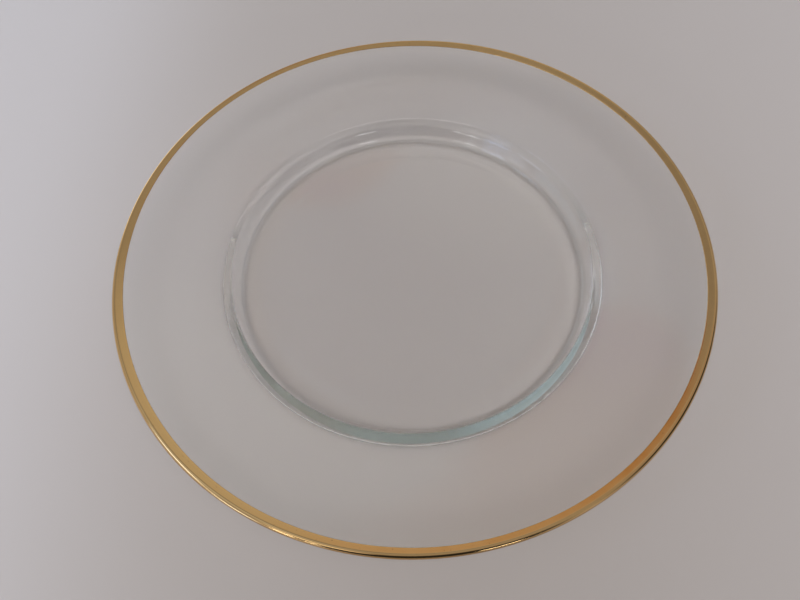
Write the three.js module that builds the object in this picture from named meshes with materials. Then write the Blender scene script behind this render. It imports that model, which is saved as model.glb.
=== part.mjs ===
// Round glass serving plate: a wide rising rim, a step down to a flat well, and a gilded lip.
// Millimetres, +Z up. The origin is the centre of the base, on the table.

import * as THREE from 'three';

// Driving dimensions, in millimetres and degrees

const PLATE_DIAMETER = 330; // over the gilded lip
const PLATE_HEIGHT = 35.4; // table to the top of the gilded lip
const WELL_DIAMETER = 201.7; // well floor, out to the step
const FLOOR_THICKNESS = 4.8; // table to the well floor
const STEP_HEIGHT = 9.8; // well floor to the shoulder
const STEP_SLOPE = 68; // inner face of the step, from level
const BASE_DIAMETER = 206.4; // outer face of the step, at the table
const BASE_SLOPE = 61; // outer face of the step, from level
const RIM_THICKNESS = 3.4; // glass of the rim, which ends in a full-round lip

const WELL_FILLET = 2.2; // well floor into the step
const SHOULDER_FILLET = 4; // step over into the rim
const HAUNCH_FILLET = 3.2; // outer face of the step into the underside of the rim
const BASE_FILLET = 2.6; // outer face of the step into the base

const BEARING_WIDTH = 8; // flat ring that the plate stands on
const HOLLOW_DEPTH = 0.3; // base inside that ring, clear of the table
const HOLLOW_RUN = 9; // slope from the ring to the full depth

const GOLD_WIDTH = 4.8; // from the lip's edge inwards, along the rim
const GOLD_WRAP = 20; // round the lip, past its widest point
const GOLD_THICKNESS = 0.1;

// Fineness of the facets

const TURN_SEGMENTS = 96;
const FILLET_STEPS = 4;
const LIP_STEPS = 4; // each stretch of the lip's round

// Plane geometry: x is the radius from the plate's axis, y is the height

const point = (radius, height) => new THREE.Vector2(radius, height);
const radians = THREE.MathUtils.degToRad;
const heading = (angle) => point(Math.cos(angle), Math.sin(angle));
const along = (start, direction, distance) => start.clone().addScaledVector(direction, distance);

function arc(centre, radius, from, to, steps) {
  const points = [];
  for (let step = 0; step <= steps; step += 1) {
    const angle = from + ((to - from) * step) / steps;
    points.push(along(centre, heading(angle), radius));
  }
  return points;
}

// Where the line through a, running along u, crosses the line through b, running along v
function crossing(a, u, b, v) {
  const gap = b.clone().sub(a);
  return along(a, u, gap.cross(v) / u.cross(v));
}

// Rounded corner between two straight runs, from the tangent point on one to that on the other
function fillet(before, corner, after, radius) {
  const back = before.clone().sub(corner).normalize();
  const ahead = after.clone().sub(corner).normalize();
  const halfAngle = Math.acos(back.dot(ahead)) / 2;
  const bisector = back.clone().add(ahead).normalize();
  const centre = along(corner, bisector, radius / Math.sin(halfAngle));
  const reach = radius / Math.tan(halfAngle);
  const from = along(corner, back, reach).sub(centre).angle();
  const to = along(corner, ahead, reach).sub(centre).angle();
  const turn = Math.atan2(Math.sin(to - from), Math.cos(to - from));
  return arc(centre, radius, from, from + turn, FILLET_STEPS);
}

// Solid of revolution about +Z, from an outline that keeps the material on its left
function turned(outline) {
  return new THREE.LatheGeometry(outline, TURN_SEGMENTS).rotateX(Math.PI / 2);
}

// Lines of the section that both pieces share

const lipRadius = RIM_THICKNESS / 2;
const lipCentre = point(
  PLATE_DIAMETER / 2 - GOLD_THICKNESS - lipRadius,
  PLATE_HEIGHT - GOLD_THICKNESS - lipRadius,
);

const wellCorner = point(WELL_DIAMETER / 2, FLOOR_THICKNESS);
const stepRun = STEP_HEIGHT / Math.tan(radians(STEP_SLOPE));
const shoulder = point(wellCorner.x + stepRun, FLOOR_THICKNESS + STEP_HEIGHT);

// The rim's upper face leaves the shoulder and touches the top of the lip's round
const shoulderToLip = lipCentre.clone().sub(shoulder);
const rimSlope = shoulderToLip.angle() + Math.asin(lipRadius / shoulderToLip.length());
const rimDirection = heading(rimSlope);
const rimNormal = heading(rimSlope + Math.PI / 2);

const lipTop = along(lipCentre, rimNormal, lipRadius);
const lipUnderside = along(lipCentre, rimNormal, -lipRadius);
const goldInnerEdge = along(lipTop, rimDirection, lipRadius - GOLD_WIDTH);

// The lip's round under the gold, from its lower edge over the widest and highest points
function gildedRound(radius) {
  const widest = arc(lipCentre, radius, -radians(GOLD_WRAP), 0, LIP_STEPS / 2);
  const outer = arc(lipCentre, radius, 0, Math.PI / 2, LIP_STEPS);
  const highest = arc(lipCentre, radius, Math.PI / 2, rimSlope + Math.PI / 2, LIP_STEPS / 2);
  return [...widest, ...outer.slice(1), ...highest.slice(1)];
}

// Glass plate, one pressed piece

function glassPlate() {
  const axisBelow = point(0, HOLLOW_DEPTH);
  const axisAbove = point(0, FLOOR_THICKNESS);
  const baseCorner = point(BASE_DIAMETER / 2, 0);
  const haunch = crossing(baseCorner, heading(radians(BASE_SLOPE)), lipUnderside, rimDirection);

  const baseRound = fillet(point(0, 0), baseCorner, haunch, BASE_FILLET);
  const bearingInner = point(baseRound[0].x - BEARING_WIDTH, 0);
  const hollowEdge = point(bearingInner.x - HOLLOW_RUN, HOLLOW_DEPTH);
  const bareRound = arc(lipCentre, lipRadius, rimSlope - Math.PI / 2, -radians(GOLD_WRAP), LIP_STEPS);

  const outline = [
    axisBelow,
    hollowEdge,
    bearingInner,
    ...baseRound,
    ...fillet(baseCorner, haunch, lipUnderside, HAUNCH_FILLET),
    ...bareRound.slice(0, -1),
    ...gildedRound(lipRadius),
    goldInnerEdge,
    ...fillet(goldInnerEdge, shoulder, wellCorner, SHOULDER_FILLET),
    ...fillet(shoulder, wellCorner, axisAbove, WELL_FILLET),
    axisAbove,
  ];
  const glass = new THREE.MeshStandardMaterial({
    color: 0xe4ece8,
    roughness: 0.05,
    metalness: 0,
    transparent: true,
    opacity: 0.3,
  });
  const mesh = new THREE.Mesh(turned(outline), glass);
  mesh.name = 'glass_plate';
  return mesh;
}

// Gold band, fired on the lip: it lies on the glass and wraps the edge

function goldRimBand() {
  const face = [...gildedRound(lipRadius + GOLD_THICKNESS), along(goldInnerEdge, rimNormal, GOLD_THICKNESS)];
  const seat = [...gildedRound(lipRadius), goldInnerEdge];
  const outline = [...face, ...seat.reverse(), face[0]];
  const gold = new THREE.MeshStandardMaterial({ color: 0xc8994a, roughness: 0.2, metalness: 1 });
  const mesh = new THREE.Mesh(turned(outline), gold);
  mesh.name = 'gold_rim_band';
  return mesh;
}

const plate = new THREE.Group();
plate.add(glassPlate(), goldRimBand());

export default plate;
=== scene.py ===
"""Looks of a round glass serving plate with a gilded lip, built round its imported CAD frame.

Lengths are metres and angles are radians, unless a name says otherwise. The plate stands on
z = 0, and its axis of revolution is +Z.
"""

from __future__ import annotations

import logging
import math
from dataclasses import dataclass
from enum import Enum

import bpy
from mathutils import Matrix, Vector

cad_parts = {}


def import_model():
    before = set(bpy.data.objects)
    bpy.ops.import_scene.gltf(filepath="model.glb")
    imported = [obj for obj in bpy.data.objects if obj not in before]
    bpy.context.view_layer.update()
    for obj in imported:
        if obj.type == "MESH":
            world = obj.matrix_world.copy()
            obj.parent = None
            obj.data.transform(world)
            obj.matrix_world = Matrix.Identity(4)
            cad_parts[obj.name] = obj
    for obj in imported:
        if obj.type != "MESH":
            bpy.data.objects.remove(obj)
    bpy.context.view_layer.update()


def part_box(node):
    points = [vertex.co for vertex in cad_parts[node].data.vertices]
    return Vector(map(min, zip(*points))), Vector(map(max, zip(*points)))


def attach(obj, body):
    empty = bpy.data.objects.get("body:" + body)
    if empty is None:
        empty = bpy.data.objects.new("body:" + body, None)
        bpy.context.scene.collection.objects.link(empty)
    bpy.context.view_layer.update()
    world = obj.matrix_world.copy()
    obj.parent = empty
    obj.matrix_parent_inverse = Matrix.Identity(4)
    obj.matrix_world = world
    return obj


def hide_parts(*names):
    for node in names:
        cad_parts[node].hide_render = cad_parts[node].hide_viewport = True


LOG = logging.getLogger("serving_plate")
MM = 0.001
BODY = "root"


class CadNode(Enum):
    """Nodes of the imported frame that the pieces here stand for."""

    GLASS = "glass_plate"
    GOLD = "gold_rim_band"


class Slot(Enum):
    """Material slots of the record."""

    GLASS = "clear_glass"
    GOLD = "fired_gold"


class OutlineData(Enum):
    """Attributes that an outline hands to the turning tree."""

    RUN = "outline_run"
    EDGE_SHARE = "edge_share"


class Graph:
    """Short forms for filling a node tree."""

    NUMBER_RESULTS = ("DOT_PRODUCT", "LENGTH")

    def __init__(self, tree: bpy.types.NodeTree) -> None:
        """Starts on an empty tree.

        Args:
            tree: Tree to fill; the nodes it has are removed.
        """
        self.tree = tree
        tree.nodes.clear()

    def add(self, kind: str, inputs: dict | None = None, **settings: object) -> bpy.types.Node:
        """Adds a node, with its settings and inputs.

        Args:
            kind: Blender's name for the node type.
            inputs: Values by input name or place; an output socket is linked, the rest is set.
            settings: Properties of the node.

        Returns:
            The new node.
        """
        node = self.tree.nodes.new(kind)
        for name, value in settings.items():
            setattr(node, name, value)
        for key, value in (inputs or {}).items():
            if isinstance(value, bpy.types.NodeSocket):
                self.tree.links.new(value, node.inputs[key])
            else:
                node.inputs[key].default_value = value
        return node

    def math(self, operation: str, *terms: object) -> bpy.types.NodeSocket:
        """Adds a Math node on one to three terms and returns its output."""
        node = self.add("ShaderNodeMath", dict(enumerate(terms)), operation=operation)
        return node.outputs[0]

    def whole(self, operation: str, first: object, second: object) -> bpy.types.NodeSocket:
        """Adds an Integer Math node on two terms and returns its output."""
        node = self.add("FunctionNodeIntegerMath", {0: first, 1: second}, operation=operation)
        return node.outputs[0]

    def vector(self, operation: str, *terms: object) -> bpy.types.NodeSocket:
        """Adds a Vector Math node on one or two terms and returns its main output."""
        node = self.add("ShaderNodeVectorMath", dict(enumerate(terms)), operation=operation)
        return node.outputs["Value" if operation in self.NUMBER_RESULTS else "Vector"]

    def scaled(self, vector: object, amount: object) -> bpy.types.NodeSocket:
        """Multiplies a vector by a number and returns the result."""
        terms = {0: vector, "Scale": amount}
        return self.add("ShaderNodeVectorMath", terms, operation="SCALE").outputs["Vector"]

    def ramp(
        self,
        value: object,
        span: tuple[float, float],
        result: tuple[float, float],
        smooth: bool = False,
    ) -> bpy.types.NodeSocket:
        """Maps one span of numbers to another.

        Args:
            value: Socket or number to map.
            span: Values that the result starts and ends at.
            result: Result at these two values; outside them it stays.
            smooth: Eases both ends.

        Returns:
            The mapped number.
        """
        terms = {0: value, 1: span[0], 2: span[1], 3: result[0], 4: result[1]}
        kind = "SMOOTHSTEP" if smooth else "LINEAR"
        node = self.add("ShaderNodeMapRange", terms, interpolation_type=kind)
        return node.outputs[0]

    def noise(self, place: object, scale: object, detail: float) -> bpy.types.NodeSocket:
        """Adds smooth noise of a scale, in waves to the unit, and returns its 0 to 1 value."""
        terms = {"Vector": place, "Scale": scale, "Detail": detail}
        return self.add("ShaderNodeTexNoise", terms).outputs[0]

    def blend(self, share: object, first: object, second: object) -> bpy.types.NodeSocket:
        """Mixes two colours and returns the result."""
        node = self.add("ShaderNodeMix", data_type="RGBA")
        terms = (("Factor_Float", share), ("A_Color", first), ("B_Color", second))
        for name, value in terms:
            socket = next(item for item in node.inputs if item.identifier == name)
            if isinstance(value, bpy.types.NodeSocket):
                self.tree.links.new(value, socket)
            else:
                socket.default_value = value
        return next(item for item in node.outputs if item.identifier == "Result_Color")


def rgba(colour: tuple[float, float, float]) -> tuple[float, float, float, float]:
    """Returns a colour with full alpha."""
    return (*colour, 1.0)


def new_material(slot: str) -> tuple[bpy.types.Material, Graph]:
    """Makes an empty node material.

    Args:
        slot: Name of the material.

    Returns:
        The material and the graph of its empty tree.
    """
    material = bpy.data.materials.new(slot)
    material.use_nodes = True
    return material, Graph(material.node_tree)


@dataclass(frozen=True)
class ClearGlass:
    """Fire-polished soda-lime glass: a faint ripple, faint smears, and a tint in its depth."""

    refraction: float = 1.52
    tint: tuple[float, float, float] = (0.21, 0.425, 0.38)
    tint_per_metre: float = 2.7
    ripple_height: float = 0.003 * MM
    ripple_scale: float = 34.0
    ripple_detail: float = 1.0
    smear_scale: float = 21.0
    smear_detail: float = 4.0
    smear_span: tuple[float, float] = (0.45, 0.75)
    polish: float = 0.015
    smear: float = 0.06
    underside: float = 0.03
    underside_fade: float = 0.02

    def build(self, widest: float) -> bpy.types.Material:
        """Makes the glass, with its surface and its volume.

        Args:
            widest: Share of the outline, from the middle of the base, at which the lip is widest.

        Returns:
            The glass, less polished on its underside than on top.
        """
        material, graph = new_material(Slot.GLASS.value)
        coordinates = graph.add("ShaderNodeTexCoord")
        place = coordinates.outputs["Object"]
        along = graph.add("ShaderNodeSeparateXYZ", {0: coordinates.outputs["UV"]}).outputs["Y"]
        lip_span = (widest - self.underside_fade, widest)
        below = graph.ramp(along, lip_span, (self.underside, 0.0))
        ripple = graph.noise(place, self.ripple_scale, self.ripple_detail)
        bump = graph.add("ShaderNodeBump", {"Height": ripple, "Distance": self.ripple_height})
        smear = graph.noise(place, self.smear_scale, self.smear_detail)
        above = graph.ramp(smear, self.smear_span, (self.polish, self.smear), smooth=True)
        roughness = graph.math("ADD", above, below)
        surface = graph.add("ShaderNodeBsdfPrincipled", {
            "Base Color": rgba((1.0, 1.0, 1.0)),
            "Roughness": roughness,
            "IOR": self.refraction,
            "Transmission Weight": 1.0,
            "Normal": bump.outputs["Normal"],
        })
        depth = graph.add("ShaderNodeVolumeAbsorption", {
            "Color": rgba(self.tint),
            "Density": self.tint_per_metre,
        })
        graph.add("ShaderNodeOutputMaterial", {
            "Surface": surface.outputs[0],
            "Volume": depth.outputs[0],
        })
        return material


@dataclass(frozen=True)
class FiredGold:
    """Bright gold, brushed on along the lip and fired; its outer edge is darkened in uneven
    stretches, partly handling wear and partly a painted dark reflection.
    """

    deep: tuple[float, float, float] = (0.73, 0.475, 0.212)
    light: tuple[float, float, float] = (0.79, 0.525, 0.245)
    wear_and_dark_reflection: tuple[float, float, float] = (0.20, 0.10, 0.045)
    strokes_across: float = 55.0
    strokes_along: float = 14.0
    stroke_height: float = 0.0002 * MM
    stroke_detail: float = 3.0
    stroke_weight: float = 0.6
    mottle_scale: float = 130.0
    mottle_detail: float = 3.0
    mottle_weight: float = 0.4
    tone_span: tuple[float, float] = (0.35, 0.65)
    dull_span: tuple[float, float] = (0.35, 0.68)
    bright: float = 0.06
    dull: float = 0.12
    dark_lip_centre: float = 0.19
    dark_lip_reach: float = 0.16
    dark_lip_scale: float = 16.0
    dark_lip_detail: float = 4.0
    dark_lip_span: tuple[float, float] = (0.38, 0.62)
    dark_lip_most: float = 0.45
    pit_scale: float = 900.0
    pit_detail: float = 1.0
    pit_span: tuple[float, float] = (0.72, 0.80)
    pit_most: float = 0.5

    def build(self) -> bpy.types.Material:
        """Returns the gold, whose strokes and wear follow the band's own UV map."""
        material, graph = new_material(Slot.GOLD.value)
        coordinates = graph.add("ShaderNodeTexCoord")
        place = coordinates.outputs["Object"]
        across = graph.add("ShaderNodeSeparateXYZ", {0: coordinates.outputs["UV"]}).outputs["Y"]
        around = graph.vector("MULTIPLY", place, (self.strokes_along, self.strokes_along, 0.0))
        lift = graph.add("ShaderNodeCombineXYZ", {
            "Z": graph.math("MULTIPLY", across, self.strokes_across),
        })
        stroke_place = graph.vector("ADD", around, lift.outputs[0])
        strokes = graph.noise(stroke_place, 1.0, self.stroke_detail)
        mottle = graph.noise(place, self.mottle_scale, self.mottle_detail)
        tone = graph.math(
            "ADD",
            graph.math("MULTIPLY", strokes, self.stroke_weight),
            graph.math("MULTIPLY", mottle, self.mottle_weight),
        )
        lightness = graph.ramp(tone, self.tone_span, (0.0, 1.0))
        gold = graph.blend(lightness, rgba(self.deep), rgba(self.light))
        # The outer lip's dark band is partly wear and partly a painted dark reflection; the pits
        # are wear.
        darkening_and_pits = self.darkening_and_pits(graph, place, across)
        surface = graph.add("ShaderNodeBsdfPrincipled", {
            "Base Color": graph.blend(darkening_and_pits, gold, rgba(self.wear_and_dark_reflection)),
            "Metallic": 1.0,
            "Roughness": graph.ramp(mottle, self.dull_span, (self.bright, self.dull)),
        })
        bump = graph.add("ShaderNodeBump", {"Height": strokes, "Distance": self.stroke_height})
        graph.tree.links.new(bump.outputs["Normal"], surface.inputs["Normal"])
        graph.add("ShaderNodeOutputMaterial", {"Surface": surface.outputs[0]})
        return material

    def darkening_and_pits(
        self,
        graph: Graph,
        place: bpy.types.NodeSocket,
        across: bpy.types.NodeSocket,
    ) -> bpy.types.NodeSocket:
        """Darkens the lip's outer edge in uneven stretches, partly handling wear and partly a
        painted dark reflection, and pits the rest.

        Args:
            graph: Graph of the gold.
            place: Object coordinates.
            across: Where on the band's width, from its lower edge to its inner edge.

        Returns:
            How far the gold is darkened, by wear, painted dark reflection and pits, from 0 to 1.
        """
        # Painted dark reflection, partly wear: a dark band across the lip's outer edge.
        offset = graph.math("ABSOLUTE", graph.math("SUBTRACT", across, self.dark_lip_centre))
        edge = graph.ramp(offset, (0.0, self.dark_lip_reach), (1.0, 0.0), smooth=True)
        stretch = graph.noise(place, self.dark_lip_scale, self.dark_lip_detail)
        dark_stretches = graph.ramp(stretch, self.dark_lip_span, (0.0, self.dark_lip_most), smooth=True)
        grain = graph.noise(place, self.pit_scale, self.pit_detail)
        pits = graph.ramp(grain, self.pit_span, (0.0, self.pit_most))
        return graph.math("MAXIMUM", graph.math("MULTIPLY", edge, dark_stretches), pits)


@dataclass(frozen=True)
class TableTop:
    """Pale table with painted light and shade in its colour: a painted soft shadow on the near
    side, lighter away from the plate, and painted window light, lighter and cooler on the window's
    side.
    """

    painted_shade_tone: tuple[float, float, float] = (0.45, 0.397, 0.365)
    unshaded_tone: tuple[float, float, float] = (0.73, 0.675, 0.66)
    painted_shade_centre: tuple[float, float, float] = (0.02, -0.30, 0.0)
    painted_shade_squeeze: tuple[float, float, float] = (1.0, 0.4, 1.0)
    painted_shade_span: tuple[float, float] = (-0.12, 0.52)
    painted_window_light_gain: tuple[float, float, float] = (1.17, 1.20, 1.25)
    painted_window_light_span: tuple[float, float] = (-0.10, -0.27)
    roughness: float = 0.6
    sheen: float = 0.2

    def build(self) -> bpy.types.Material:
        """Returns the table's matt finish, with a painted shadow and painted window light in its
        base colour.
        """
        material, graph = new_material("pale_table")
        place = graph.add("ShaderNodeTexCoord").outputs["Object"]
        # Painted shadow: the colour darkens towards a point on the near side of the plate.
        offset = graph.vector("SUBTRACT", place, self.painted_shade_centre)
        squeezed = graph.vector("MULTIPLY", offset, self.painted_shade_squeeze)
        distance = graph.vector("LENGTH", squeezed)
        share = graph.ramp(distance, self.painted_shade_span, (0.0, 1.0), smooth=True)
        painted_shade_colour = graph.blend(share, rgba(self.painted_shade_tone), rgba(self.unshaded_tone))
        # Painted window light: the colour gets lighter and cooler towards the window's side, -X.
        across = graph.add("ShaderNodeSeparateXYZ", {0: place}).outputs["X"]
        window_lit_share = graph.ramp(across, self.painted_window_light_span, (0.0, 1.0), smooth=True)
        gain = graph.blend(window_lit_share, rgba((1.0, 1.0, 1.0)), rgba(self.painted_window_light_gain))
        surface = graph.add("ShaderNodeBsdfPrincipled", {
            "Base Color": graph.vector("MULTIPLY", painted_shade_colour, gain),
            "Roughness": self.roughness,
            "Specular IOR Level": self.sheen,
        })
        graph.add("ShaderNodeOutputMaterial", {"Surface": surface.outputs[0]})
        return material


def heading(angle: float) -> Vector:
    """Returns the unit vector at an angle from the outward radius, in the half section."""
    return Vector((math.cos(angle), math.sin(angle)))


def crossing(first: Vector, along: Vector, second: Vector, other: Vector) -> Vector:
    """Finds where two lines of the half section cross.

    Args:
        first: A point of one line.
        along: The direction of that line.
        second: A point of the other line.
        other: The direction of the other line.

    Returns:
        The point that both lines pass through.
    """
    gap = second - first
    spread = along.x * other.y - along.y * other.x
    return first + along * ((gap.x * other.y - gap.y * other.x) / spread)


@dataclass(frozen=True)
class Round:
    """Arc of the half section."""

    centre: Vector
    radius: float
    start: float
    end: float

    @classmethod
    def in_corner(cls, before: Vector, corner: Vector, after: Vector, radius: float) -> Round:
        """Fits a rounding into the corner of two straight runs.

        Args:
            before: A point of the run that comes in.
            corner: Where the runs would meet.
            after: A point of the run that goes out.
            radius: Radius of the rounding.

        Returns:
            The arc between its two tangent points.
        """
        back = (before - corner).normalized()
        ahead = (after - corner).normalized()
        half = math.acos(back.dot(ahead)) / 2
        centre = corner + (back + ahead).normalized() * (radius / math.sin(half))
        reach = radius / math.tan(half)
        inward = corner + back * reach - centre
        outward = corner + ahead * reach - centre
        start = math.atan2(inward.y, inward.x)
        turn = math.atan2(inward.x * outward.y - inward.y * outward.x, inward.dot(outward))
        return cls(centre, radius, start, start + turn)

    def at(self, share: float) -> Vector:
        """Returns the point at a share of the way along."""
        return self.centre + heading(self.start + (self.end - self.start) * share) * self.radius

    def points(self, finest: float = math.radians(3.0)) -> list[Vector]:
        """Returns evenly spaced points along the arc, no further apart than the given angle."""
        steps = max(2, math.ceil(abs(self.end - self.start) / finest))
        return [self.at(step / steps) for step in range(steps + 1)]


class OutlinePen:
    """Draws an outline in straight and rounded runs, with guard points that keep flats flat."""

    GUARD = 0.12 * MM
    RING_SPACING = 9.0 * MM

    def __init__(self, start: Vector) -> None:
        """Puts the pen down on the first point."""
        self.points: list[Vector] = [start]

    def straight(self, end: Vector) -> None:
        """Draws a straight run, with rings along it and a guard point by each end.

        Args:
            end: Where the run ends.
        """
        start = self.points[-1].copy()
        run = end - start
        length = run.length
        along = run.normalized()
        if length > 4 * self.GUARD:
            rings = max(1, round(length / self.RING_SPACING))
            inner = length - 2 * self.GUARD
            for ring in range(rings + 1):
                self.points.append(start + along * (self.GUARD + inner * ring / rings))
        self.points.append(end)

    def curve(self, points: list[Vector]) -> None:
        """Draws a straight run to a curve, then the curve.

        Args:
            points: Points of the curve, from end to end.
        """
        if (points[0] - self.points[-1]).length > self.GUARD / 10:
            self.straight(points[0])
        self.points.extend(points[1:])


@dataclass(frozen=True)
class PlateSection:
    """Half section that the glass and the gold share, with the frame's overall sizes."""

    outer_radius: float
    height: float
    film: float
    well_radius: float = 101.3 * MM
    floor_thickness: float = 5.0 * MM
    step_height: float = 9.9 * MM
    step_slope: float = math.radians(72.3)
    base_radius: float = 103.5 * MM
    base_slope: float = math.radians(60.5)
    rim_thickness: float = 3.4 * MM
    well_fillet: float = 2.5 * MM
    shoulder_fillet: float = 3.3 * MM
    haunch_fillet: float = 3.7 * MM
    base_fillet: float = 2.4 * MM
    bearing_width: float = 8.3 * MM
    hollow_depth: float = 0.35 * MM
    hollow_run: float = 9.0 * MM
    hollow_steps: int = 14
    gold_width: float = 4.8 * MM
    gold_wrap: float = math.radians(20.0)

    @classmethod
    def from_frame(cls) -> PlateSection:
        """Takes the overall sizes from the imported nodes."""
        glass_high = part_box(CadNode.GLASS.value)[1]
        gold_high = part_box(CadNode.GOLD.value)[1]
        return cls(gold_high.x, gold_high.z, gold_high.z - glass_high.z)

    @property
    def lip_radius(self) -> float:
        """Radius of the lip's full round."""
        return self.rim_thickness / 2

    @property
    def lip_centre(self) -> Vector:
        """Centre of the lip's full round."""
        inset = self.film + self.lip_radius
        return Vector((self.outer_radius - inset, self.height - inset))

    @property
    def well_corner(self) -> Vector:
        """Where the well floor would meet the step, unrounded."""
        return Vector((self.well_radius, self.floor_thickness))

    @property
    def shoulder(self) -> Vector:
        """Where the step would meet the rim, unrounded."""
        run = self.step_height / math.tan(self.step_slope)
        return self.well_corner + Vector((run, self.step_height))

    @property
    def rim_slope(self) -> float:
        """Slope of the rim, whose upper face touches the top of the lip's round."""
        reach = self.lip_centre - self.shoulder
        return math.atan2(reach.y, reach.x) + math.asin(self.lip_radius / reach.length)

    @property
    def rim_normal(self) -> Vector:
        """Direction that the rim's upper face looks in."""
        return heading(self.rim_slope + math.pi / 2)

    @property
    def gold_inner_edge(self) -> Vector:
        """Where the gold ends on the rim's upper face."""
        top = self.lip_centre + self.rim_normal * self.lip_radius
        return top + heading(self.rim_slope) * (self.lip_radius - self.gold_width)

    def lip_arcs(self, start: float) -> list[Vector]:
        """Follows the lip over its widest and highest points, up to the rim's upper face.

        Args:
            start: Angle at which the run starts.

        Returns:
            Points of the run.
        """
        stops = (start, 0.0, math.pi / 2, self.rim_slope + math.pi / 2)
        points = [self.lip_centre + heading(start) * self.lip_radius]
        for begin, end in zip(stops, stops[1:]):
            points.extend(Round(self.lip_centre, self.lip_radius, begin, end).points()[1:])
        return points

    def glass_outline(self) -> list[Vector]:
        """Draws the glass from the middle of the base, round the lip, to the middle of the well."""
        base_corner = Vector((self.base_radius, 0.0))
        underside = self.lip_centre - self.rim_normal * self.lip_radius
        wall = heading(self.base_slope)
        haunch = crossing(base_corner, wall, underside, heading(self.rim_slope))
        base_round = Round.in_corner(Vector((0.0, 0.0)), base_corner, haunch, self.base_fillet)
        haunch_round = Round.in_corner(base_corner, haunch, underside, self.haunch_fillet)
        shoulder_round = Round.in_corner(
            self.gold_inner_edge, self.shoulder, self.well_corner, self.shoulder_fillet)
        axis_above = Vector((0.0, self.floor_thickness))
        well_round = Round.in_corner(self.shoulder, self.well_corner, axis_above, self.well_fillet)

        pen = OutlinePen(Vector((0.0, self.hollow_depth)))
        pen.curve(self.hollow_slope(base_round.at(0.0).x - self.bearing_width))
        pen.curve(base_round.points())
        pen.curve(haunch_round.points())
        pen.curve(self.lip_arcs(self.rim_slope - math.pi / 2))
        pen.curve(shoulder_round.points())
        pen.curve(well_round.points())
        pen.straight(axis_above)
        return pen.points

    def hollow_slope(self, bearing_radius: float) -> list[Vector]:
        """Eases the base from its hollow down to the ring that it stands on.

        Args:
            bearing_radius: Inner radius of that ring.

        Returns:
            Points of the slope.
        """
        points = []
        for step in range(self.hollow_steps + 1):
            share = step / self.hollow_steps
            fall = share * share * (3 - 2 * share)
            radius = bearing_radius - self.hollow_run * (1 - share)
            points.append(Vector((radius, self.hollow_depth * (1 - fall))))
        return points


@dataclass(frozen=True)
class OutlinePoint:
    """Point of a half section, with its share of the run and of the edge's wander."""

    place: Vector
    run: float
    edge_share: float = 0.0


def run_shares(points: list[Vector]) -> list[float]:
    """Returns how far along a run of points each one lies, from 0 to 1."""
    lengths = [0.0]
    for before, after in zip(points, points[1:]):
        lengths.append(lengths[-1] + (after - before).length)
    return [length / lengths[-1] for length in lengths]


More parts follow.
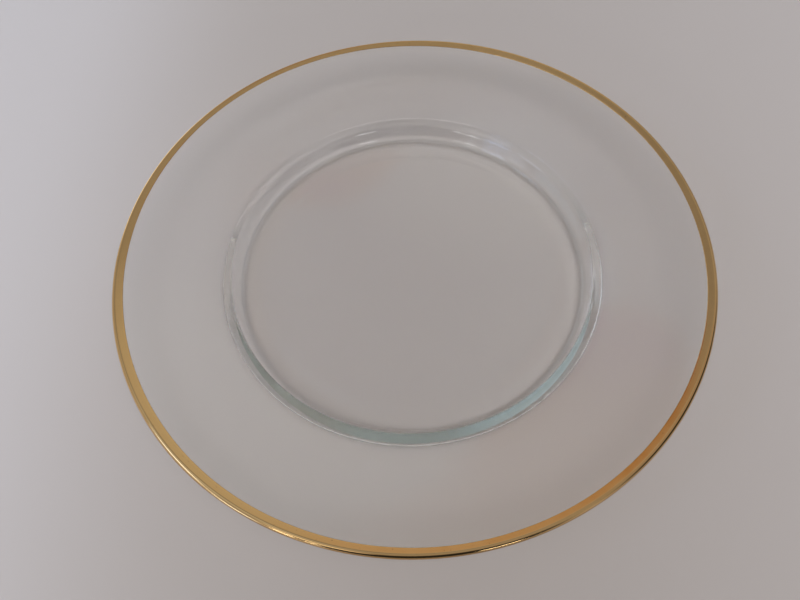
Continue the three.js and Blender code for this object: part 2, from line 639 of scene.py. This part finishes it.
class TurningTree:
    """Geometry Nodes tree that turns an outline about +Z into a closed, smooth solid."""

    INPUTS = (
        ("Turn Segments", "NodeSocketInt"),
        ("Weld Distance", "NodeSocketFloat"),
        ("Twofold Sway", "NodeSocketFloat"),
        ("Twofold Turn", "NodeSocketFloat"),
        ("Threefold Sway", "NodeSocketFloat"),
        ("Threefold Turn", "NodeSocketFloat"),
        ("Edge Wander", "NodeSocketFloat"),
        ("Wander Scale", "NodeSocketFloat"),
        ("Wander Seed", "NodeSocketFloat"),
        ("Wander Direction", "NodeSocketVector"),
        ("Finish", "NodeSocketMaterial"),
    )
    WANDER_DETAIL = 3.0

    def __init__(self) -> None:
        """Builds the tree, once for all the pieces."""
        self.tree = bpy.data.node_groups.new("turned_outline", "GeometryNodeTree")
        self.tree.is_modifier = True
        self.graph = Graph(self.tree)
        self._declare()
        self._fill()

    def _declare(self) -> None:
        interface = self.tree.interface
        interface.new_socket("Geometry", in_out="OUTPUT", socket_type="NodeSocketGeometry")
        interface.new_socket("Outline", in_out="INPUT", socket_type="NodeSocketGeometry")
        for name, kind in self.INPUTS:
            interface.new_socket(name, in_out="INPUT", socket_type=kind)

    def _sampled(self, value: object, index: object, kind: str) -> bpy.types.NodeSocket:
        """Reads a value of the outline at one of its points.

        Args:
            value: Field on the outline's points.
            index: Which point.
            kind: Data type of the value.

        Returns:
            The value there.
        """
        node = self.graph.add("GeometryNodeSampleIndex", data_type=kind, domain="POINT")
        links = self.tree.links
        links.new(self.given["Outline"], node.inputs["Geometry"])
        links.new(value, node.inputs["Value"])
        links.new(index, node.inputs["Index"])
        return node.outputs["Value"]

    def _attribute(self, data: OutlineData) -> bpy.types.NodeSocket:
        """Returns one of the outline's own numbers as a field."""
        name = {"Name": data.value}
        node = self.graph.add("GeometryNodeInputNamedAttribute", name, data_type="FLOAT")
        return node.outputs["Attribute"]

    def _sway(self, angle: object, times: float, name: str) -> bpy.types.NodeSocket:
        """Waves the edge slowly round the turn.

        Args:
            angle: How far round, in radians.
            times: Waves in the whole turn.
            name: Which of the two waves, as the inputs name it.

        Returns:
            How far the edge moves outwards.
        """
        graph = self.graph
        waves = graph.math("MULTIPLY", angle, times)
        phase = graph.math("SUBTRACT", waves, self.given[f"{name} Turn"])
        return graph.math("MULTIPLY", graph.math("COSINE", phase), self.given[f"{name} Sway"])

    def _fill(self) -> None:
        """Adds the nodes: a grid of turns by points, laid round the axis and welded."""
        graph = self.graph
        self.given = graph.add("NodeGroupInput").outputs
        segments = self.given["Turn Segments"]
        size = graph.add("GeometryNodeAttributeDomainSize", {0: self.given["Outline"]})
        count = size.outputs["Point Count"]
        columns = graph.whole("ADD", segments, 1)
        grid = graph.add("GeometryNodeMeshGrid", {"Vertices X": columns, "Vertices Y": count})
        index = graph.add("GeometryNodeInputIndex").outputs[0]
        turn = graph.whole("DIVIDE_FLOOR", index, count)
        step = graph.whole("MODULO", index, count)

        share = graph.math("DIVIDE", turn, segments)
        angle = graph.math("MULTIPLY", share, math.tau)
        across = graph.math("COSINE", angle)
        away = graph.math("SINE", angle)
        position = graph.add("GeometryNodeInputPosition").outputs[0]
        drawn = self._sampled(position, step, "FLOAT_VECTOR")
        run = self._sampled(self._attribute(OutlineData.RUN), step, "FLOAT")
        edge = self._sampled(self._attribute(OutlineData.EDGE_SHARE), step, "FLOAT")

        ring = graph.add("ShaderNodeCombineXYZ", {0: across, 1: away, 2: self.given["Wander Seed"]})
        noise = graph.noise(ring.outputs[0], self.given["Wander Scale"], self.WANDER_DETAIL)
        swing = graph.math("MULTIPLY", graph.math("SUBTRACT", noise, 0.5), 2.0)
        wander = graph.math("MULTIPLY", swing, self.given["Edge Wander"])
        wander = graph.math("ADD", wander, self._sway(angle, 2.0, "Twofold"))
        wander = graph.math("ADD", wander, self._sway(angle, 3.0, "Threefold"))
        amount = graph.math("MULTIPLY", wander, edge)
        shift = graph.scaled(self.given["Wander Direction"], amount)
        drawn = graph.vector("ADD", drawn, shift)
        section = graph.add("ShaderNodeSeparateXYZ", {0: drawn}).outputs
        place = graph.add("ShaderNodeCombineXYZ", {
            0: graph.math("MULTIPLY", section[0], across),
            1: graph.math("MULTIPLY", section[0], away),
            2: section[2],
        })
        self._finish(grid.outputs["Mesh"], place.outputs[0], share, run)

    def _finish(
        self,
        grid: bpy.types.NodeSocket,
        place: bpy.types.NodeSocket,
        share: bpy.types.NodeSocket,
        run: bpy.types.NodeSocket,
    ) -> None:
        """Maps, lays, welds and smooths the grid, and gives it its finish.

        Args:
            grid: The flat grid.
            place: Where each of its points goes.
            share: How far round each point lies.
            run: How far along the outline each point lies.
        """
        graph = self.graph
        pair = graph.add("ShaderNodeCombineXYZ", {0: share, 1: run})
        mapped = graph.add("GeometryNodeFieldOnDomain", data_type="FLOAT_VECTOR", domain="POINT")
        self.tree.links.new(pair.outputs[0], mapped.inputs[0])
        stored = graph.add("GeometryNodeStoreNamedAttribute", data_type="FLOAT2", domain="CORNER")
        stored.inputs["Name"].default_value = "UVMap"
        self.tree.links.new(grid, stored.inputs["Geometry"])
        self.tree.links.new(mapped.outputs[0], stored.inputs["Value"])
        laid = graph.add("GeometryNodeSetPosition", {
            "Geometry": stored.outputs[0],
            "Position": place,
        })
        welded = graph.add("GeometryNodeMergeByDistance", {
            "Geometry": laid.outputs[0],
            "Distance": self.given["Weld Distance"],
        })
        smooth = graph.add("GeometryNodeSetShadeSmooth", {"Geometry": welded.outputs[0]})
        realized = graph.add("GeometryNodeRealizeInstances", {"Geometry": smooth.outputs[0]})
        finished = graph.add("GeometryNodeSetMaterial", {
            "Geometry": realized.outputs[0],
            "Material": self.given["Finish"],
        })
        graph.add("NodeGroupOutput", {"Geometry": finished.outputs[0]})

    def turn(
        self,
        name: str,
        outline: list[OutlinePoint],
        sizes: dict[str, object],
    ) -> bpy.types.Object:
        """Turns an outline into a plain mesh object at the origin.

        Args:
            name: Name of the piece.
            outline: Points of the half section, with the material on their left.
            sizes: The tree's inputs, by name.

        Returns:
            The finished piece, with no modifier left on it.
        """
        piece = bpy.data.objects.new(name, self._outline_mesh(name, outline))
        bpy.context.scene.collection.objects.link(piece)
        modifier = piece.modifiers.new("turned", "NODES")
        modifier.node_group = self.tree
        for item in self.tree.interface.items_tree:
            if item.name in sizes:
                modifier[item.identifier] = sizes[item.name]
        depsgraph = bpy.context.evaluated_depsgraph_get()
        mesh = bpy.data.meshes.new_from_object(
            piece.evaluated_get(depsgraph), preserve_all_data_layers=True, depsgraph=depsgraph)
        mesh.name = name
        piece.modifiers.clear()
        piece.data = mesh
        return piece

    @staticmethod
    def _outline_mesh(name: str, outline: list[OutlinePoint]) -> bpy.types.Mesh:
        """Writes an outline as points and edges, with the numbers that the tree reads.

        Args:
            name: Name of the piece.
            outline: Points of the half section.

        Returns:
            The outline's mesh.
        """
        mesh = bpy.data.meshes.new(f"{name}_outline")
        vertices = [(point.place.x, 0.0, point.place.y) for point in outline]
        edges = [(index, index + 1) for index in range(len(outline) - 1)]
        mesh.from_pydata(vertices, edges, [])
        runs = mesh.attributes.new(OutlineData.RUN.value, "FLOAT", "POINT")
        runs.data.foreach_set("value", [point.run for point in outline])
        shares = mesh.attributes.new(OutlineData.EDGE_SHARE.value, "FLOAT", "POINT")
        shares.data.foreach_set("value", [point.edge_share for point in outline])
        return mesh


@dataclass
class GlassPlate:
    """The pressed plate: well, step, rim and lip in one piece of glass."""

    section: PlateSection
    finish: ClearGlass
    turn_segments: int = 432
    weld_distance: float = 0.001 * MM

    def build(self, tree: TurningTree) -> bpy.types.Object:
        """Turns the glass and sets it in the frame.

        Args:
            tree: The turning tree.

        Returns:
            The glass piece.
        """
        points = self.section.glass_outline()
        outline = [OutlinePoint(place, run) for place, run in zip(points, run_shares(points))]
        widest = max(outline, key=lambda point: point.place.x).run
        piece = tree.turn("clear_glass_plate", outline, {
            "Turn Segments": self.turn_segments,
            "Weld Distance": self.weld_distance,
            "Finish": self.finish.build(widest),
        })
        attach(piece, BODY)
        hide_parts(CadNode.GLASS.value)
        return piece


@dataclass
class GoldBand:
    """The gilding: a film round the lip, feathered at its edges, with a hand-laid inner edge."""

    section: PlateSection
    finish: FiredGold
    turn_segments: int = 360
    weld_distance: float = 0.001 * MM
    seat_gap: float = 0.015 * MM
    feather: float = 0.35 * MM
    flat_steps: int = 16
    twofold_sway: float = 0.50 * MM
    twofold_turn: float = math.radians(237.0)
    threefold_sway: float = 0.29 * MM
    threefold_turn: float = math.radians(45.0)
    edge_wander: float = 0.10 * MM
    wander_scale: float = 6.0
    wander_seed: float = 3.7

    def path(self) -> list[tuple[Vector, Vector]]:
        """Follows the glass under the gold.

        Returns:
            Points from the lower edge, over the lip, to the inner edge, each with its normal.
        """
        section = self.section
        path = []
        for point in section.lip_arcs(-section.gold_wrap):
            path.append((point, (point - section.lip_centre).normalized()))
        flat_start = path[-1][0]
        flat = section.gold_inner_edge - flat_start
        for step in range(1, self.flat_steps + 1):
            path.append((flat_start + flat * (step / self.flat_steps), section.rim_normal))
        return path

    def thickness(self, from_edge: float) -> float:
        """Returns the film's thickness at a distance from its nearer edge."""
        share = min(1.0, from_edge / self.feather)
        return self.seat_gap + (self.section.film - self.seat_gap) * math.sin(share * math.pi / 2)

    def outline(self) -> list[OutlinePoint]:
        """Draws the film's face and, back along it, its seat."""
        path = self.path()
        places = [point for point, _ in path]
        width = sum((after - before).length for before, after in zip(places, places[1:]))
        flat_share = (places[-1] - places[-1 - self.flat_steps]).length / width
        face = []
        seat = []
        for (point, normal), run in zip(path, run_shares(places)):
            edge_share = max(0.0, 1.0 - (1.0 - run) / flat_share)
            film = self.thickness(min(run, 1.0 - run) * width)
            face.append(OutlinePoint(point + normal * film, run, edge_share))
            seat.append(OutlinePoint(point + normal * self.seat_gap, run, edge_share))
        return face + seat[-2:0:-1] + face[:1]

    def build(self, tree: TurningTree) -> bpy.types.Object:
        """Turns the gold and sets it in the frame.

        Args:
            tree: The turning tree.

        Returns:
            The gold piece.
        """
        slope = heading(self.section.rim_slope)
        piece = tree.turn("gilded_lip", self.outline(), {
            "Turn Segments": self.turn_segments,
            "Weld Distance": self.weld_distance,
            "Twofold Sway": self.twofold_sway,
            "Twofold Turn": self.twofold_turn,
            "Threefold Sway": self.threefold_sway,
            "Threefold Turn": self.threefold_turn,
            "Edge Wander": self.edge_wander,
            "Wander Scale": self.wander_scale,
            "Wander Seed": self.wander_seed,
            "Wander Direction": (slope.x, 0.0, slope.y),
            "Finish": self.finish.build(),
        })
        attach(piece, BODY)
        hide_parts(CadNode.GOLD.value)
        return piece


def sky_direction(azimuth: float, elevation: float) -> Vector:
    """Returns a direction in the room.

    Args:
        azimuth: Degrees round from +Y, over +X.
        elevation: Degrees over the table.

    Returns:
        The unit vector.
    """
    turn = math.radians(azimuth)
    rise = math.radians(elevation)
    level = math.cos(rise)
    return Vector((math.sin(turn) * level, math.cos(turn) * level, math.sin(rise)))


@dataclass(frozen=True)
class Glow:
    """Patch of light or shade in the room round the plate.

    All its angles are degrees: its direction as in sky_direction, the radius of its full
    core, and the radius at which it has faded out.
    """

    azimuth: float
    elevation: float
    core: float
    reach: float
    colour: tuple[float, float, float]


@dataclass(frozen=True)
class Softbox:
    """Area lamp that looks at the plate."""

    name: str
    place: tuple[float, float, float]
    aim: tuple[float, float, float]
    width: float
    height: float
    watts: float
    colour: tuple[float, float, float]

    def build(self) -> bpy.types.Object:
        """Returns the lamp, hidden from the camera and from mirror reflections."""
        light = bpy.data.lights.new(self.name, "AREA")
        light.shape = "RECTANGLE"
        light.size = self.width
        light.size_y = self.height
        light.energy = self.watts
        light.color = self.colour
        lamp = bpy.data.objects.new(self.name, light)
        lamp.location = self.place
        gaze = Vector(self.aim) - Vector(self.place)
        lamp.rotation_euler = gaze.to_track_quat("-Z", "Y").to_euler()
        lamp.visible_camera = False
        lamp.visible_glossy = False
        bpy.context.scene.collection.objects.link(lamp)
        return lamp


@dataclass
class Studio:
    """Floor, soft room light, lamps and the photograph's camera."""

    floor_gap: float = 0.3 * MM
    floor_reach: float = 6.0
    overhead: tuple[float, float, float] = (0.37, 0.36, 0.35)
    level: tuple[float, float, float] = (0.54, 0.535, 0.53)
    rise_span: tuple[float, float] = (0.0, 0.9)
    darkest: tuple[float, float, float] = (0.03, 0.03, 0.03)
    camera_place: tuple[float, float, float] = (0.0, -0.18966, 0.31334)
    camera_aim: tuple[float, float, float] = (-0.00631, -0.03807, 0.0341)
    camera_roll: float = math.radians(-4.45)
    lens: float = 27.0
    sensor: float = 36.0
    nearest: float = 0.01
    light_bounces: int = 48
    glows: tuple[Glow, ...] = (
        Glow(10.0, 43.0, 7.0, 17.0, (0.20, 0.20, 0.16)),
        Glow(349.3, 43.5, 6.6, 9.2, (-0.08, -0.26, -0.36)),
        Glow(342.0, 58.0, 8.0, 20.0, (-0.08, -0.08, -0.07)),
        Glow(57.0, 62.0, 6.0, 14.0, (0.03, -0.06, -0.10)),
        Glow(50.0, 12.0, 10.0, 24.0, (-0.26, -0.26, -0.24)),
        Glow(98.0, 22.0, 14.0, 34.0, (-0.42, -0.42, -0.42)),
        Glow(156.6, 20.2, 2.5, 3.5, (5.2, 5.3, 5.4)),
        Glow(162.0, 20.2, 2.5, 3.5, (5.2, 5.3, 5.4)),
        Glow(178.0, 30.0, 22.0, 40.0, (-0.56, -0.56, -0.56)),
        Glow(209.0, 20.5, 1.8, 2.8, (6.4, 6.5, 6.6)),
        Glow(217.0, 20.5, 2.8, 3.8, (6.4, 6.5, 6.6)),
        Glow(214.0, 52.0, 6.0, 14.0, (1.00, 0.96, 0.92)),
        Glow(230.0, 11.0, 3.0, 9.0, (1.80, 2.30, 3.40)),
        Glow(243.0, 24.0, 3.0, 9.0, (0.90, 1.00, 1.20)),
        Glow(257.0, 38.0, 3.0, 10.0, (1.90, 2.40, 3.50)),
        Glow(284.0, 66.0, 6.0, 22.0, (0.22, 0.28, 0.34)),
        Glow(318.0, 8.0, 6.0, 20.0, (1.00, 1.15, 1.40)),
    )
    softboxes: tuple[Softbox, ...] = (
        Softbox(
            name="window_lamp",
            place=(-1.60, 0.18, 0.80),
            aim=(0.0, 0.0, 0.02),
            width=1.2,
            height=1.0,
            watts=2.4,
            colour=(0.50, 0.80, 1.0),
        ),
        Softbox(
            name="ceiling_lamp",
            place=(0.05, -0.55, 1.35),
            aim=(0.0, 0.0, 0.02),
            width=1.2,
            height=0.8,
            watts=7.1,
            colour=(1.0, 1.0, 1.0),
        ),
    )

    def build_floor(self, finish: TableTop) -> bpy.types.Object:
        """Lays the floor just under the plate.

        Args:
            finish: Its finish.

        Returns:
            The floor.
        """
        reach = self.floor_reach
        mesh = bpy.data.meshes.new("table_top")
        corners = [(-reach, -reach), (reach, -reach), (reach, reach), (-reach, reach)]
        mesh.from_pydata([(x, y, -self.floor_gap) for x, y in corners], [], [(0, 1, 2, 3)])
        mesh.materials.append(finish.build())
        floor = bpy.data.objects.new("table_top", mesh)
        bpy.context.scene.collection.objects.link(floor)
        return floor

    def build_room(self) -> bpy.types.World:
        """Returns the room's soft light, set as the scene's world."""
        world = bpy.data.worlds.new("soft_room")
        world.use_nodes = True
        graph = Graph(world.node_tree)
        gaze = graph.add("ShaderNodeTexCoord").outputs["Generated"]
        rise = graph.add("ShaderNodeSeparateXYZ", {0: gaze}).outputs["Z"]
        share = graph.ramp(rise, self.rise_span, (0.0, 1.0), smooth=True)
        light = graph.blend(share, rgba(self.level), rgba(self.overhead))
        for glow in self.glows:
            aim = sky_direction(glow.azimuth, glow.elevation)
            nearness = graph.vector("DOT_PRODUCT", gaze, tuple(aim))
            span = (math.cos(math.radians(glow.reach)), math.cos(math.radians(glow.core)))
            amount = graph.ramp(nearness, span, (0.0, 1.0), smooth=True)
            light = graph.vector("ADD", light, graph.scaled(glow.colour, amount))
        light = graph.vector("MAXIMUM", light, self.darkest)
        background = graph.add("ShaderNodeBackground", {"Color": light, "Strength": 1.0})
        graph.add("ShaderNodeOutputWorld", {"Surface": background.outputs[0]})
        bpy.context.scene.world = world
        return world

    def build_camera(self) -> bpy.types.Object:
        """Sets up the photograph's view, which leans a little to one side.

        Returns:
            The camera, set as the scene's own.
        """
        data = bpy.data.cameras.new("photo_camera")
        data.lens = self.lens
        data.sensor_width = self.sensor
        data.sensor_fit = "HORIZONTAL"
        data.clip_start = self.nearest
        camera = bpy.data.objects.new("photo_camera", data)
        place = Vector(self.camera_place)
        gaze = (Vector(self.camera_aim) - place).normalized()
        right = gaze.cross(Vector((0.0, 0.0, 1.0))).normalized()
        down = gaze.cross(right)
        cosine = math.cos(self.camera_roll)
        sine = math.sin(self.camera_roll)
        leaned_right = right * cosine - down * sine
        leaned_down = right * sine + down * cosine
        turn = Matrix((leaned_right, -leaned_down, -gaze)).transposed()
        camera.matrix_world = Matrix.Translation(place) @ turn.to_4x4()
        bpy.context.scene.collection.objects.link(camera)
        bpy.context.scene.camera = camera
        return camera

    def set_light_paths(self) -> None:
        """Lets light run on inside the glass, unblurred, and keeps colours plain."""
        scene = bpy.context.scene
        scene.view_settings.view_transform = "Standard"
        scene.cycles.blur_glossy = 0.0
        scene.cycles.max_bounces = self.light_bounces
        scene.cycles.glossy_bounces = self.light_bounces
        scene.cycles.transmission_bounces = self.light_bounces


def main() -> None:
    """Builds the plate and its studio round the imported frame."""
    logging.basicConfig(level=logging.INFO, format="%(name)s: %(message)s")
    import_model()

    studio = Studio()
    studio.build_camera()
    section = PlateSection.from_frame()
    tree = TurningTree()
    for part in (GlassPlate(section, ClearGlass()), GoldBand(section, FiredGold())):
        piece = part.build(tree)
        LOG.info("%s: %d faces", piece.name, len(piece.data.polygons))

    studio.build_floor(TableTop())
    studio.build_room()
    for softbox in studio.softboxes:
        softbox.build()
    studio.set_light_paths()


if __name__ == "__main__":
    main()
